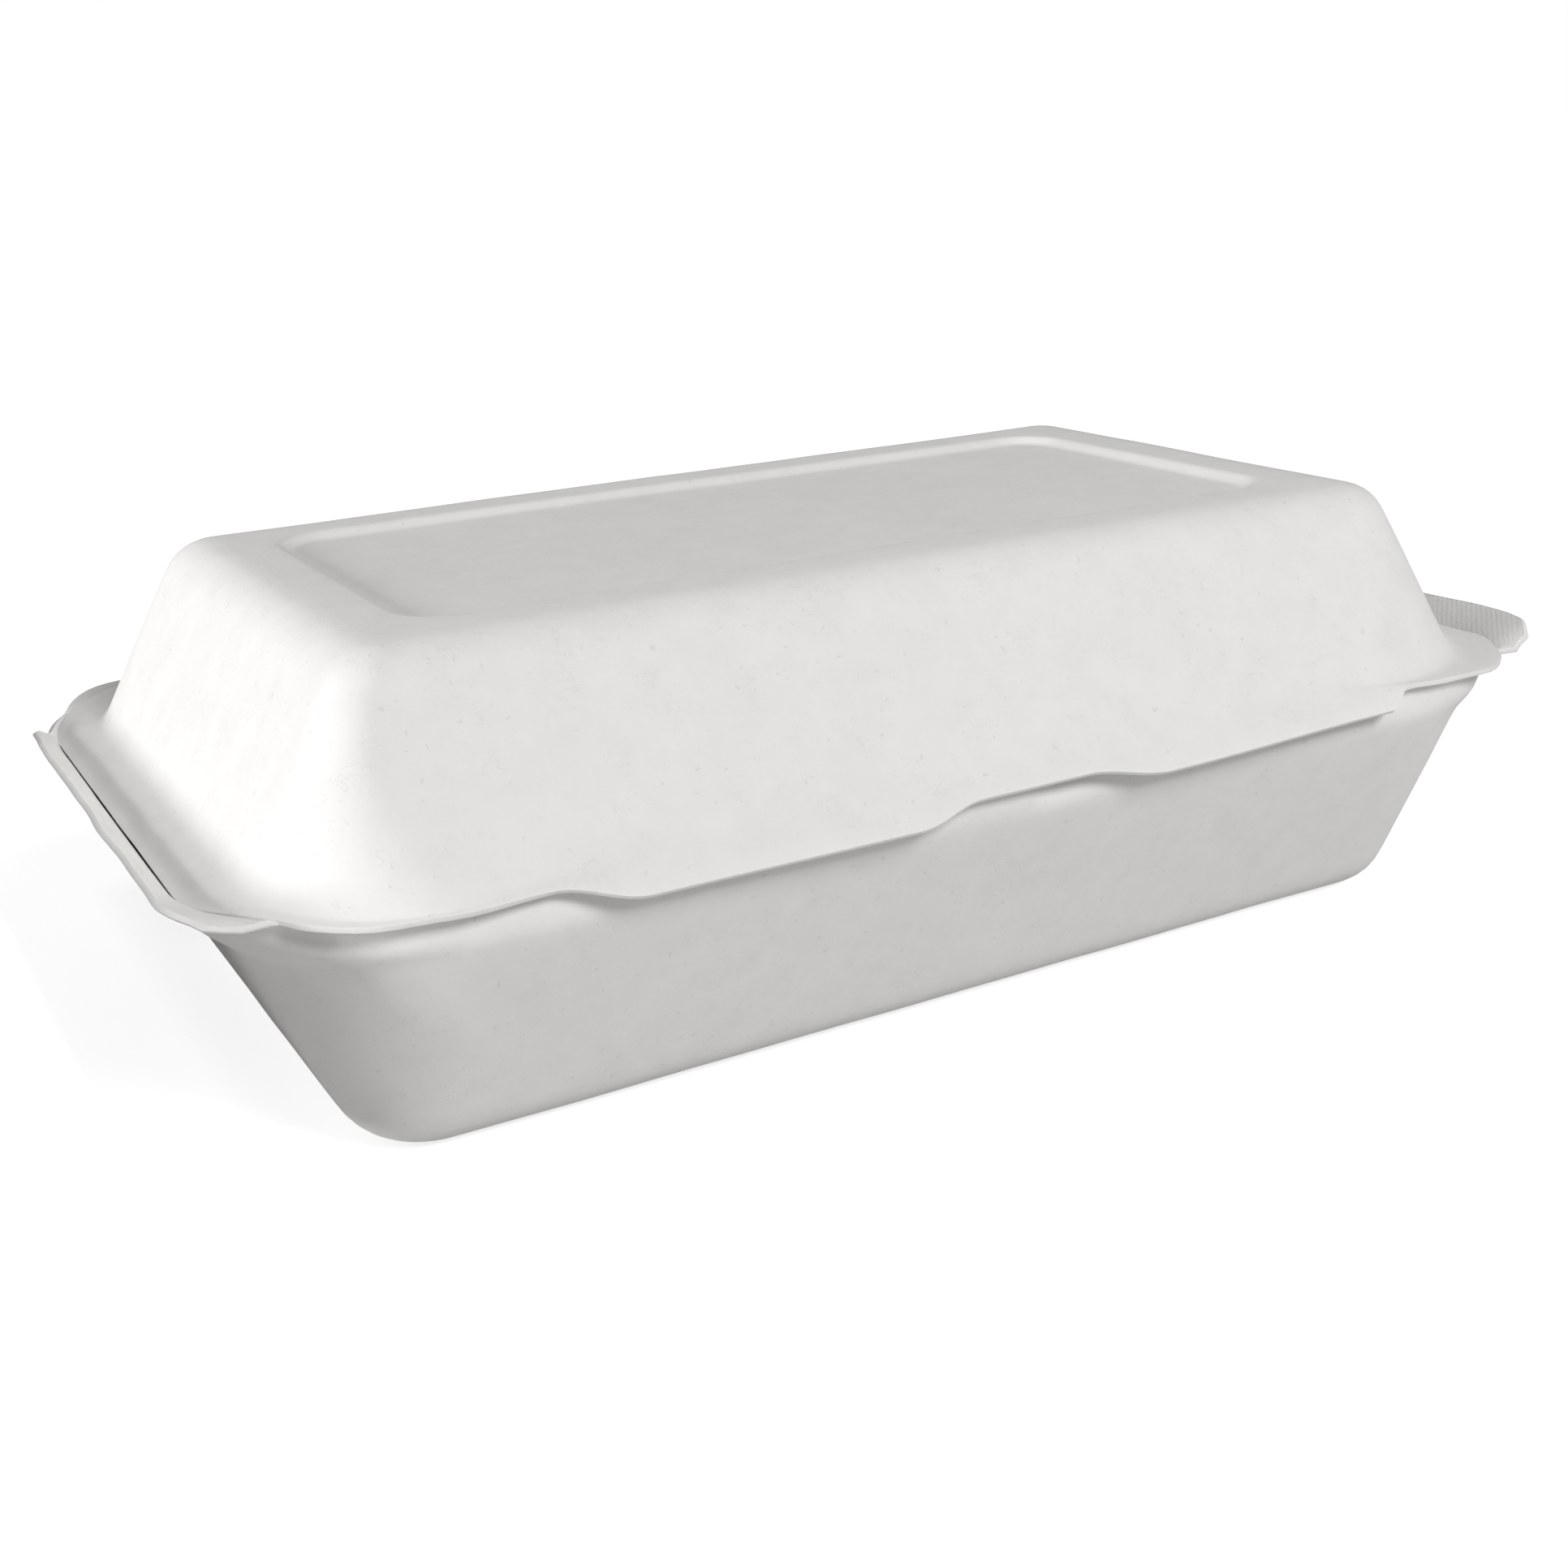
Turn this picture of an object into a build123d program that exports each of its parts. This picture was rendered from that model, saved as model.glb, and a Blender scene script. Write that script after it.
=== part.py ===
from build123d import *
import math
import os

# A hinged clamshell food box pressed from sugarcane fibre, closed, in millimetres.
# The base tray and the lid are one moulded sheet that folds along the back long side.
# Frame: X along the length, Y across with the fold at the back (+Y), Z up.
# The origin is on the table, under the middle of the box.

# Sheet
wall = 0.8                  # thickness of the pressed fibre

# Tray: floor and walls
floor_length = 182.0        # outside, where floor and end walls would meet without a bend
floor_width = 98.0
floor_corner = 10.0         # plan radius of the floor's corners
floor_bend = 9.5            # outside bend between floor and walls
end_draft = 22.4            # lean of the end walls from upright, degrees
side_draft = 25.6           # lean of the long walls
corner_growth = 0.58        # how fast the corner radius grows with height
front_rim_height = 39.2     # top of the tray at the front and at its corners

# Tray: flared rim with a raised lip at each end
kink_drop = 7.7             # how far below the front rim the flare leaves the end walls
flare_reach = 4.0           # how far the flare stands outside the end wall at the front rim's height
flare_belly = 1.2           # outward bulge of the flare half way up
flare_tuck = 1.5            # how far the flare starts inside the long walls, so that it fades out there
rim_corner = 33.0           # plan radius of the rim's corners
rim_slant = 1.35            # level thickness of the flare, as a multiple of the sheet
lip_rise = 4.3              # how far the end lips stand above the front rim
lip_spread = 4.1            # how far the lip leans out above the front rim's height
lip_corner = 25.0           # plan radius of the lip's corners
lip_flat_front = 50.0       # distance from the middle up to which the lip keeps its height
lip_run_front = 66.0        # and at which it is down at the front rim's height
lip_flat_back = 26.0        # the same towards the back
lip_run_back = 46.0         # down at the back shelf's height, clear of the lid's corner
tongue_half = 10.5          # half length of the bulge in the lid's thumb notch
tongue_reach = 0.6          # how far its edge stands outside the long wall
tongue_rise = 0.4           # how far its edge stands above the front rim, just under the lid
tongue_depth = 4.0          # from its edge down to where it leaves the long wall

# Tray: moulded divider ridge, open below, between the two compartments
divider_place = 22.0        # along X, from the middle
divider_height = 24.0       # outside height of the hollow below the ridge
divider_foot_width = 22.0   # width of the hollow at the table
divider_top_width = 5.0     # width of the hollow at its top
divider_end_draft = 20.0    # lean of the ridge's ends from upright, degrees
divider_top_round = 2.0     # rounding of the hollow's top edges
divider_end_gap = 8.0       # from the hollow's ends to the floor's edge

# Lid: walls and top
lid_lift = 2.8              # height of the lid wall's foot above the tray's front rim
front_foot_rise = 2.0       # how much higher the front flange leaves the lid's front wall
lid_top_height = 69.2       # overall height of the closed box
lid_inset_end = 2.7         # how far the lid wall's foot stands inside the tray wall's line
lid_inset_side = 1.4
lid_end_draft = 31.7        # lean of the lid's end walls from upright, degrees
lid_side_draft = 37.1       # lean of its long walls
lid_foot_corner = 35.7      # plan radius of the foot's corners
lid_top_corner = 6.2        # plan radius of the top's corners
lid_top_bend = 9.8          # outside bend between lid walls and top
panel_border_end = 12.4     # width of the border round the sunk panel
panel_border_side = 11.2
panel_depth = 1.3           # depth of the sunk panel
panel_corner = 9.0          # plan radius of its corners
panel_slope = 2.5           # width of the sloping step round it

# Lid: flange with two front tabs and a thumb notch between them
flange_droop = 41.0         # slope of the front flange below level, degrees
flange_fall = 5.7           # slope of the end and back flanges below level
end_flange = 4.7            # width of the end flanges, from the wall's foot
back_flange = 3.0           # width of the back flange, from the wall's foot
rim_turn = 30.0             # plan radius of the lid rim's corners
recess_flange = 1.5         # width of the front flange outside the tabs
notch_flange = 1.9          # width in the thumb notch
tab_flange = 4.3            # width at the tabs
notch_half = 12.5           # half length of the notch, at its deepest
notch_blend = 7.5           # length of the curve from notch to tab
tab_end = 60.0              # where the tab starts to curve back, from the middle
tab_blend = 9.0             # length of that curve

# Fold between tray and lid, along the back flange
fold_radius = 0.5           # round bead at the crease
fold_gap = 0.3              # clearance between the bead and the lid's edge
flange_gap = 0.55           # clearance between the tray's back flange and the lid's

spare = 6.0                 # what a cutting solid reaches past what it cuts

# Heights that follow from these
kink_height = front_rim_height - kink_drop
lip_height = front_rim_height + lip_rise
tongue_top = front_rim_height + tongue_rise
lid_foot_height = front_rim_height + lid_lift
front_foot_height = lid_foot_height + front_foot_rise


def slope(degrees):
    """Run for one unit of rise, for a lean given in degrees from upright."""
    return math.tan(math.radians(degrees))


def section(half_x, half_y, corner, height, middle_y=0.0):
    """A rounded rectangle lying at a height."""
    return Pos(0, middle_y, height) * RectangleRounded(2 * half_x, 2 * half_y, corner)


def stack(sections):
    """One solid through level sections, straight from each to the next."""
    return Part() + [loft([low, high], ruled=True) for low, high in zip(sections, sections[1:])]


def across(degrees):
    """Thickness of a leaning wall, measured level."""
    return wall / math.cos(math.radians(degrees))


# Tray walls

def tray_half(height):
    """Half length, half width and corner radius of the tray's outside at a height."""
    return (
        floor_length / 2 + height * slope(end_draft),
        floor_width / 2 + height * slope(side_draft),
        floor_corner + height * corner_growth,
    )


def tray_section(height, inward=False):
    """Level section through the tray walls, outside or inside the sheet."""
    half_x, half_y, corner = tray_half(height)
    if inward:
        half_x -= across(end_draft)
        half_y -= across(side_draft)
        corner -= across(side_draft)
    return section(half_x, half_y, corner, height)


def flare_section(height, reach_end, reach_side, corner, inward=0.0):
    """Level section through the flared rim, measured from the wall's own line."""
    half_x, half_y, _ = tray_half(height)
    return section(half_x + reach_end - inward, half_y + reach_side - inward, corner - inward, height)


def flare(inward=0.0):
    """The flared rim and end lips as a solid bowl, outside or inside the sheet."""
    middle = (kink_height + front_rim_height) / 2
    above = lip_height + wall
    lean = lip_spread / (lip_height - front_rim_height) - slope(end_draft)
    kink_corner = tray_half(kink_height)[2]
    return stack([
        flare_section(kink_height, 0, -flare_tuck, kink_corner, inward),
        flare_section(
            middle, flare_reach / 2 + flare_belly, -flare_tuck / 2, (kink_corner + rim_corner) / 2, inward
        ),
        flare_section(front_rim_height, flare_reach, 0, rim_corner, inward),
        flare_section(above, flare_reach + (above - front_rim_height) * lean, 0, lip_corner, inward),
    ])


def tongue(inward=0.0):
    """The bulge of the front rim that shows in the thumb notch, outside or inside the sheet."""
    low = tongue_top - tongue_depth
    foot_y = inward - tray_half(low)[1]
    top_y = inward - tray_half(tongue_top)[1] - tongue_reach
    inner_y = foot_y + rim_slant * wall
    profile = Polyline(
        (foot_y, low), (top_y, tongue_top), (inner_y, tongue_top), (inner_y, low), close=True
    )
    length = 2 * (tongue_half - inward)
    return Pos(-length / 2, 0, 0) * extrude(Plane.YZ * make_face(profile), length)


rim_half_x = tray_half(front_rim_height)[0] + flare_reach
rim_half_y = tray_half(front_rim_height)[1]
foot_half_x = tray_half(front_rim_height)[0] - lid_inset_end
foot_half_y = tray_half(front_rim_height)[1] - lid_inset_side
fold_y = foot_half_y + back_flange + fold_gap + fold_radius
back_drop = (back_flange + fold_gap + fold_radius) * slope(flange_fall)
fold_z = lid_foot_height - back_drop - wall - flange_gap / 2
shelf_top = fold_z - flange_gap / 2


# Tray, joined from its outside forms, with its inside forms taken out

def rim_trim():
    """Everything above the tray's rim: level in front, raised over the end lips, level at the back."""
    far = rim_half_y + spare
    level = [(1, 0), (1, 0)]
    rim = [
        Line((-far, front_rim_height), (-lip_run_front, front_rim_height)),
        Spline((-lip_run_front, front_rim_height), (-lip_flat_front, lip_height), tangents=level),
        Line((-lip_flat_front, lip_height), (lip_flat_back, lip_height)),
        Spline((lip_flat_back, lip_height), (lip_run_back, shelf_top), tangents=level),
        Line((lip_run_back, shelf_top), (far, shelf_top)),
    ]
    roof = Polyline((far, shelf_top), (far, 2 * lip_height), (-far, 2 * lip_height), (-far, front_rim_height))
    length = 2 * (rim_half_x + lip_spread + spare)
    return Pos(-length / 2, 0, 0) * extrude(Plane.YZ * make_face([*rim, roof]), length)


def divider(grow=0.0):
    """The ridge between the compartments: the hollow below it, or grown by the sheet, its top side."""
    lean = (divider_foot_width - divider_top_width) / 2 / divider_height
    side = grow * math.hypot(1, lean)
    end = grow * math.hypot(1, slope(divider_end_draft))
    foot_length = floor_width - 2 * divider_end_gap
    levels = []
    for height in (0, divider_height + grow):
        width = divider_foot_width + 2 * side - 2 * height * lean
        length = foot_length + 2 * end - 2 * height * slope(divider_end_draft)
        levels.append(Pos(divider_place, 0, height) * SlotOverall(length, width, rotation=90))
    ridge = stack(levels)
    return fillet(ridge.edges().group_by(Axis.Z)[-1], divider_top_round + grow)


def make_tray():
    """The base, with its floor, walls, divider, flared rim, end lips and the fold's bead."""
    outside = stack([tray_section(0), tray_section(front_rim_height)])
    outside = fillet(outside.edges().group_by(Axis.Z)[0], floor_bend)
    inside = stack([tray_section(wall, True), tray_section(lip_height + spare, True)])
    inside = fillet(inside.edges().group_by(Axis.Z)[0], floor_bend - wall)
    shelf_plan = Rectangle(2 * foot_half_x, 2 * fold_y)
    shelf_plan = fillet(shelf_plan.vertices(), rim_turn)
    shelf = Pos(0, 0, shelf_top - wall) * extrude(shelf_plan, wall)
    shelf -= Pos(0, -spare, 0) * Box(3 * rim_half_x, 2 * foot_half_y, 3 * lip_height)
    bead_length = 2 * (foot_half_x - rim_turn)
    bead = Pos(0, fold_y, fold_z) * Rot(0, 90, 0) * Cylinder(fold_radius, bead_length)
    outside += flare()
    outside += shelf
    outside += bead
    outside -= rim_trim()
    outside += tongue()
    cavity = inside + flare(wall * rim_slant) + tongue(wall * rim_slant)
    cavity -= divider(wall)
    return outside - cavity - divider()


# Lid

def lid_section(height, inward=False):
    """Level section through the lid's walls, outside or inside the sheet."""
    share = (height - lid_foot_height) / (lid_top_height - lid_foot_height)
    half_x = foot_half_x - (height - lid_foot_height) * slope(lid_end_draft)
    half_y = foot_half_y - (height - lid_foot_height) * slope(lid_side_draft)
    corner = lid_foot_corner + share * (lid_top_corner - lid_foot_corner)
    if inward:
        half_x -= across(lid_end_draft)
        half_y -= across(lid_side_draft)
        corner -= across(lid_side_draft)
    return section(half_x, half_y, corner, height)


def skirt_section(height, inward=False):
    """Level section through the lid's flange, above or below the sheet."""
    sunk_level = across(flange_fall) if inward else 0.0
    sunk_front = across(flange_droop) if inward else 0.0
    level = (lid_foot_height - sunk_level - height) / slope(flange_fall)
    front_foot_y = foot_half_y - (front_foot_height - lid_foot_height) * slope(lid_side_draft)
    front = front_foot_y + (front_foot_height - sunk_front - height) / slope(flange_droop)
    back = foot_half_y + level
    corner = lid_foot_corner + (lid_foot_height - height) / slope(flange_droop)
    return section(foot_half_x + level, (front + back) / 2, corner, height, (back - front) / 2)


def skirt(inward=False):
    """The lid's flange as a wide cone: steep in front, almost level at the ends and the back."""
    lowest = lid_foot_height - (tab_flange + spare) * slope(flange_droop)
    return stack([skirt_section(lowest, inward), skirt_section(front_foot_height + wall, inward)])


def lid_plan():
    """Plan of the lid's rim: two front tabs, the thumb notch, round corners, straight fold."""
    end_x = foot_half_x + end_flange
    turn_x = end_x - rim_turn
    back_y = foot_half_y + back_flange
    notch_y = -foot_half_y - notch_flange
    tab_y = -foot_half_y - tab_flange
    recess_y = -foot_half_y - recess_flange
    level = [(1, 0), (1, 0)]
    into_tab = ((notch_half, notch_y), (notch_half + notch_blend, tab_y))
    out_of_tab = ((tab_end, tab_y), (tab_end + tab_blend, recess_y))
    half = [
        Line((0, notch_y), into_tab[0]),
        Spline(*into_tab, tangents=level),
        Line(into_tab[1], out_of_tab[0]),
        Spline(*out_of_tab, tangents=level),
        Line(out_of_tab[1], (turn_x, recess_y)),
        RadiusArc((turn_x, recess_y), (end_x, recess_y + rim_turn), -rim_turn),
        Line((end_x, recess_y + rim_turn), (end_x, back_y - rim_turn)),
        RadiusArc((end_x, back_y - rim_turn), (turn_x, back_y), -rim_turn),
        Line((turn_x, back_y), (0, back_y)),
    ]
    return make_face(half + [mirror(edge, about=Plane.YZ) for edge in half])


def panel(grow=0.0):
    """The sunk field in the lid's top, or grown by the sheet, its bump on the underside."""
    top_x = foot_half_x - (lid_top_height - lid_foot_height) * slope(lid_end_draft) - panel_border_end
    top_y = foot_half_y - (lid_top_height - lid_foot_height) * slope(lid_side_draft) - panel_border_side
    lean = panel_slope / panel_depth
    levels = []
    for above in (-panel_depth - grow, spare):
        wider = (above + panel_depth + grow) * lean + grow - panel_slope
        levels.append(section(top_x + wider, top_y + wider, panel_corner + wider, lid_top_height + above))
    return stack(levels)


def make_lid():
    """The lid, with its sunk top, leaning walls and wavy flange."""
    outside = stack([lid_section(lid_foot_height), lid_section(lid_top_height)])
    outside = fillet(outside.edges().group_by(Axis.Z)[-1], lid_top_bend)
    low = lid_foot_height - 2 * wall
    inside = stack([lid_section(low, True), lid_section(lid_top_height - wall, True)])
    inside = fillet(inside.edges().group_by(Axis.Z)[-1], lid_top_bend - wall)
    outside = (outside - panel()) + skirt()
    inside = (inside - panel(wall)) + skirt(True)
    plan = extrude(lid_plan(), lid_top_height + spare)
    return (outside - inside) & plan


print("fold axis y", round(fold_y, 3), "z", round(fold_z, 3))
os.makedirs("parts", exist_ok=True)
for name, shape in (("tray", make_tray()), ("lid", make_lid())):
    print(name, "solids", len(shape.solids()), "volume", round(shape.volume), "box", shape.bounding_box().size)
    export_step(shape, f"parts/{name}.step")
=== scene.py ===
"""A closed food box of pressed sugarcane fibre: divided tray, fold-over lid and the crease between them."""
import logging
import math
from dataclasses import dataclass, field, replace
from enum import Enum
from functools import partial, reduce
from itertools import accumulate
from typing import Callable

import bmesh
import bpy
from mathutils import Matrix, Vector, noise


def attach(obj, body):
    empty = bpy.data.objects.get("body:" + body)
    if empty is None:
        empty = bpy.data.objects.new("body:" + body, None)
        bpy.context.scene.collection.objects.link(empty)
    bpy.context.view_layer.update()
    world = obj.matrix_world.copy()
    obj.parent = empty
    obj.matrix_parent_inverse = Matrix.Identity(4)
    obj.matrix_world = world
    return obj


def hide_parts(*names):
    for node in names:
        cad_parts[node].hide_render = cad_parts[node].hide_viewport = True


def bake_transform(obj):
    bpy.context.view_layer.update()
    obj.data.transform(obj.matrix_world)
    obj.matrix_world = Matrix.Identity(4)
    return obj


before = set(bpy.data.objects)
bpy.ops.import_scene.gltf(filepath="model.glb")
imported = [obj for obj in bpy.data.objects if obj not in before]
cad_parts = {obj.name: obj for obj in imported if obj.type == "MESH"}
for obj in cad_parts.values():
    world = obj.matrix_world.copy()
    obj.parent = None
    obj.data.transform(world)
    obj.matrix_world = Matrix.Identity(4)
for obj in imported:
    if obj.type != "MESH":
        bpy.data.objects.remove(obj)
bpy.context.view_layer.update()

LOG = logging.getLogger("food_box")
METRES = 0.001
HALF_STEPS = 22
Placer = Callable[[Vector, Vector], Vector]
HeightOver = Callable[[float, float], float]
Stops = tuple[tuple[float, float], ...]
Triple = tuple[float, float, float]
Materials = list[bpy.types.Material]
Socket = bpy.types.NodeSocket


def tangent(degrees: float) -> float:
    """Run for one unit of rise, for a lean from upright."""
    return math.tan(math.radians(degrees))


def ease(share: float) -> float:
    """A smooth step from 0 to 1, level at both ends."""
    share = min(1.0, max(0.0, share))
    return share * share * (3.0 - 2.0 * share)


def blend(start: float, end: float, share: float) -> float:
    """The value at a share of the way from start to end."""
    return start + (end - start) * share


def through(stops: Stops, at: float, soft: bool = False) -> float:
    """The value of a run of pieces at a place.

    Args:
        stops: Places and values, in rising order of place.
        at: The place that is asked for; outside the stops the end value holds.
        soft: Whether the pieces ease into each other; otherwise they are straight.

    Returns:
        The value between the two nearest stops.
    """
    if at <= stops[0][0]:
        return stops[0][1]
    for (low, first), (high, second) in zip(stops, stops[1:]):
        if at <= high:
            share = (at - low) / (high - low)
            return blend(first, second, ease(share) if soft else share)
    return stops[-1][1]


def halve(low: float, high: float, inside: Callable[[float], bool]) -> float:
    """The value between low and high at which inside turns false.

    Args:
        low: A value for which inside holds.
        high: A value for which it doesn't.
        inside: The test.

    Returns:
        The turning value, found by halving the range.
    """
    for _ in range(HALF_STEPS):
        middle = (low + high) / 2
        if inside(middle):
            low = middle
        else:
            high = middle
    return (low + high) / 2


def diagonal(arm: Vector) -> float:
    """How near a point is to the middle of its corner: 1 in the middle, 0 on the straight sides."""
    return (2.0 * arm.x * arm.y) ** 2


def drift(arm: Vector, y: float, length: float, seed: float) -> float:
    """A slow wander along the box's ends.

    Args:
        arm: Direction of the corner's radius, which sets the two ends apart.
        y: Place across the box, in millimetres.
        length: Length over which it changes.
        seed: Where in the pattern it lies.

    Returns:
        A value from -1 to 1.
    """
    return noise.noise(Vector((arm.x * 2.0, y / length, seed)))


@dataclass(frozen=True)
class Ramp:
    """A smooth step from 0 to 1 that begins at a start and takes a length."""

    start: float
    length: float

    def at(self, value: float) -> float:
        """How far the step has risen at a value."""
        return ease((value - self.start) / self.length)


@dataclass(frozen=True)
class Outline:
    """A rounded rectangle lying at a height, in millimetres."""

    half_x: float
    half_y: float
    corner: float
    height: float
    middle_y: float = 0.0

    def point(self, core: Vector, arm: Vector) -> Vector:
        """The point of the outline for a place on the ring.

        Args:
            core: Share of the straight sides, from -1 to 1 each way.
            arm: Unit direction of the corner's radius there.

        Returns:
            The point, in millimetres.
        """
        return Vector((
            core.x * (self.half_x - self.corner) + arm.x * self.corner,
            core.y * (self.half_y - self.corner) + arm.y * self.corner + self.middle_y,
            self.height,
        ))

    def reach(self, x: float, y: float) -> float:
        """How far a point lies outside the outline; inside it is negative."""
        over_x = abs(x) - self.half_x + self.corner
        over_y = abs(y - self.middle_y) - self.half_y + self.corner
        outer = math.hypot(max(over_x, 0.0), max(over_y, 0.0))
        return outer + min(max(over_x, over_y), 0.0) - self.corner


def in_scene(name: str, data: bpy.types.ID) -> bpy.types.Object:
    """Makes an object of its data and links it to the scene."""
    thing = bpy.data.objects.new(name, data)
    bpy.context.scene.collection.objects.link(thing)
    return thing


def meshed(mesh: bmesh.types.BMesh, name: str, materials: Materials) -> bpy.types.Object:
    """Makes an object of a mesh, which is used up, and gives it its materials."""
    data = bpy.data.meshes.new(name)
    mesh.to_mesh(data)
    mesh.free()
    for material in materials:
        data.materials.append(material)
    return in_scene(name, data)


def thickened(
    mesh: bmesh.types.BMesh, name: str, materials: Materials, wall: float, edge: float
) -> bpy.types.Object:
    """Makes a piece of a sheet's mesh.

    Args:
        mesh: The sheet's outer side, in metres.
        name: The piece's name.
        materials: The outside's finish, and the inside's where it differs.
        wall: Thickness of the sheet, in millimetres.
        edge: Rounding of its edges.

    Returns:
        The piece, linked to the scene.
    """
    piece = meshed(mesh, name, materials)
    piece.data.shade_smooth()
    thick = piece.modifiers.new("thickness", "SOLIDIFY")
    thick.thickness = wall * METRES
    thick.offset = -1.0
    thick.use_even_offset = True
    thick.material_offset = len(materials) - 1
    rounded = piece.modifiers.new("rounded_edge", "BEVEL")
    rounded.width = edge * METRES
    rounded.segments = 3
    rounded.limit_method = "ANGLE"
    rounded.angle_limit = math.radians(62)
    rounded.harden_normals = False
    return piece


@dataclass
class PressedSheet:
    """A sheet of pressed fibre that starts as a flat field and grows outwards, ring by ring."""

    name: str
    end_draft: float
    side_draft: float
    seed: float
    wall: float = 0.8
    edge: float = 0.28
    corner_cut: float = 1.8
    columns: int = 130
    rows: int = 66
    corner_lines: int = 10
    dense_at: float = 0.0
    dense_width: float = 12.0
    dense_gain: float = 0.0
    swell: float = 0.16
    swell_length: float = 34.0
    grain: float = 0.05
    grain_length: float = 11.0
    held_rings: float = 4.0
    rim_rings: float = 3.0
    least_corner: float = 1.0

    def __post_init__(self) -> None:
        """Opens the mesh and the layers that each ring hands on to the next."""
        self.mesh = bmesh.new()
        layers = self.mesh.verts.layers
        self.core = layers.float_vector.new("core")
        self.arm = layers.float_vector.new("arm")
        self.ring = layers.int.new("ring")
        self.rim = layers.float.new("rim")
        self.rings = 0
        self.border: list[bmesh.types.BMEdge] = []

    def wall_outline(self, height: float) -> Outline:
        """The outside of the walls at a height; each sheet has its own."""
        raise NotImplementedError

    def bent(self, level: float, height: float, radius: float, turn: float) -> Outline:
        """The outside of a bend between a level face and the walls.

        Args:
            level: Height of the level face.
            height: Height of the point in the bend.
            radius: Radius of the bend.
            turn: Angle turned from level there, in degrees.

        Returns:
            The outline at that height.
        """
        run = radius * math.sin(math.radians(turn))
        whole, flat = self.wall_outline(height), self.wall_outline(level)
        half_x = min(flat.half_x - radius * tangent((90 - self.end_draft) / 2) + run, whole.half_x)
        half_y = min(flat.half_y - radius * tangent((90 - self.side_draft) / 2) + run, whole.half_y)
        inset = (whole.half_x - half_x + whole.half_y - half_y) / 2
        return Outline(half_x, half_y, max(self.least_corner, whole.corner - inset), height)

    def lines(self, count: int, half: float, dense: bool) -> list[tuple[float, float]]:
        """Where the lines of the field lie along one side.

        Args:
            count: Number of spaces between lines.
            half: Half length of the straight part, in millimetres.
            dense: Whether the lines crowd round the place that needs them.

        Returns:
            For each line its share of the straight part and of the corner's eighth turn.
        """
        straight = count - 2 * self.corner_lines
        gain = self.dense_gain if dense else 0.0

        def space(place: int) -> float:
            """Width of one space, before all are scaled to fit."""
            off = (blend(-half, half, (place + 0.5) / straight) - self.dense_at) / self.dense_width
            return 1.0 / (1.0 + gain * math.exp(-(off ** 2)))

        spaces = [space(place) for place in range(straight)]
        whole = sum(spaces)
        left = [(-1.0, -1.0 + i / self.corner_lines) for i in range(self.corner_lines)]
        middle = [(-1.0, 0.0)] + [(2.0 * run / whole - 1.0, 0.0) for run in accumulate(spaces)]
        right = [(1.0, (i + 1) / self.corner_lines) for i in range(self.corner_lines)]
        return left + middle + right

    def lay_field(self, half_x: float, half_y: float, margin: float, height: float) -> None:
        """Lays the flat field that the rings grow from.

        Args:
            half_x: Half its length.
            half_y: Half its width.
            margin: Width of the border strip that holds the corner lines.
            height: Height at which it lies.
        """
        bmesh.ops.create_grid(self.mesh, x_segments=self.columns, y_segments=self.rows, size=1.0)
        along = self.lines(self.columns, half_x - margin, True)
        across = self.lines(self.rows, half_y - margin, False)
        eighth = math.radians(45)
        for vert in self.mesh.verts:
            i = round((vert.co.x + 1) / 2 * self.columns)
            j = round((vert.co.y + 1) / 2 * self.rows)
            (core_x, turn_x), (core_y, turn_y) = along[i], across[j]
            vert.co = Vector((
                core_x * (half_x - margin) + turn_x * margin,
                core_y * (half_y - margin) + turn_y * margin,
                height,
            ))
            if j in (0, self.rows):
                side = -1.0 if j == 0 else 1.0
                vert[self.core] = Vector((core_x, side, 0))
                vert[self.arm] = Vector((math.sin(turn_x * eighth), side * math.cos(turn_x * eighth), 0))
            elif i in (0, self.columns):
                side = -1.0 if i == 0 else 1.0
                vert[self.core] = Vector((side, core_y, 0))
                vert[self.arm] = Vector((side * math.cos(turn_y * eighth), math.sin(turn_y * eighth), 0))
        self.border = [edge for edge in self.mesh.edges if edge.is_boundary]

    def grow(self, place: Placer) -> None:
        """Grows one ring outwards from the border.

        Args:
            place: Gives each point of the new ring from its place on the ring.
        """
        made = bmesh.ops.extrude_edge_only(self.mesh, edges=self.border)["geom"]
        self.rings += 1
        for vert in (item for item in made if isinstance(item, bmesh.types.BMVert)):
            vert.co = place(vert[self.core], vert[self.arm])
            vert[self.ring] = self.rings
        self.border = [item for item in made if isinstance(item, bmesh.types.BMEdge) and item.is_boundary]

    def soften(self, low: int, high: int, times: int) -> None:
        """Rounds the creases between two rings, as damp fibre does over its mould.

        Args:
            low: First ring that moves.
            high: Last ring that moves.
            times: How often it is smoothed.
        """
        verts = [vert for vert in self.mesh.verts if low <= vert[self.ring] <= high]
        for _ in range(times):
            bmesh.ops.smooth_vert(
                self.mesh, verts=verts, factor=0.5, use_axis_x=True, use_axis_y=True, use_axis_z=True
            )

    def ripple(self) -> None:
        """Gives the surface the gentle unevenness of pressed fibre, with the rim held still."""
        self.mesh.normal_update()
        shift = Vector((self.seed, self.seed, self.seed))
        moves = []
        for vert in self.mesh.verts:
            long = noise.noise(vert.co / self.swell_length + shift)
            short = noise.noise(vert.co / self.grain_length + shift)
            held = min(1.0, (self.rings - vert[self.ring]) / self.held_rings)
            moves.append((vert, vert.normal * (self.swell * long + self.grain * short) * held))
        for vert, move in moves:
            vert.co += move

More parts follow.
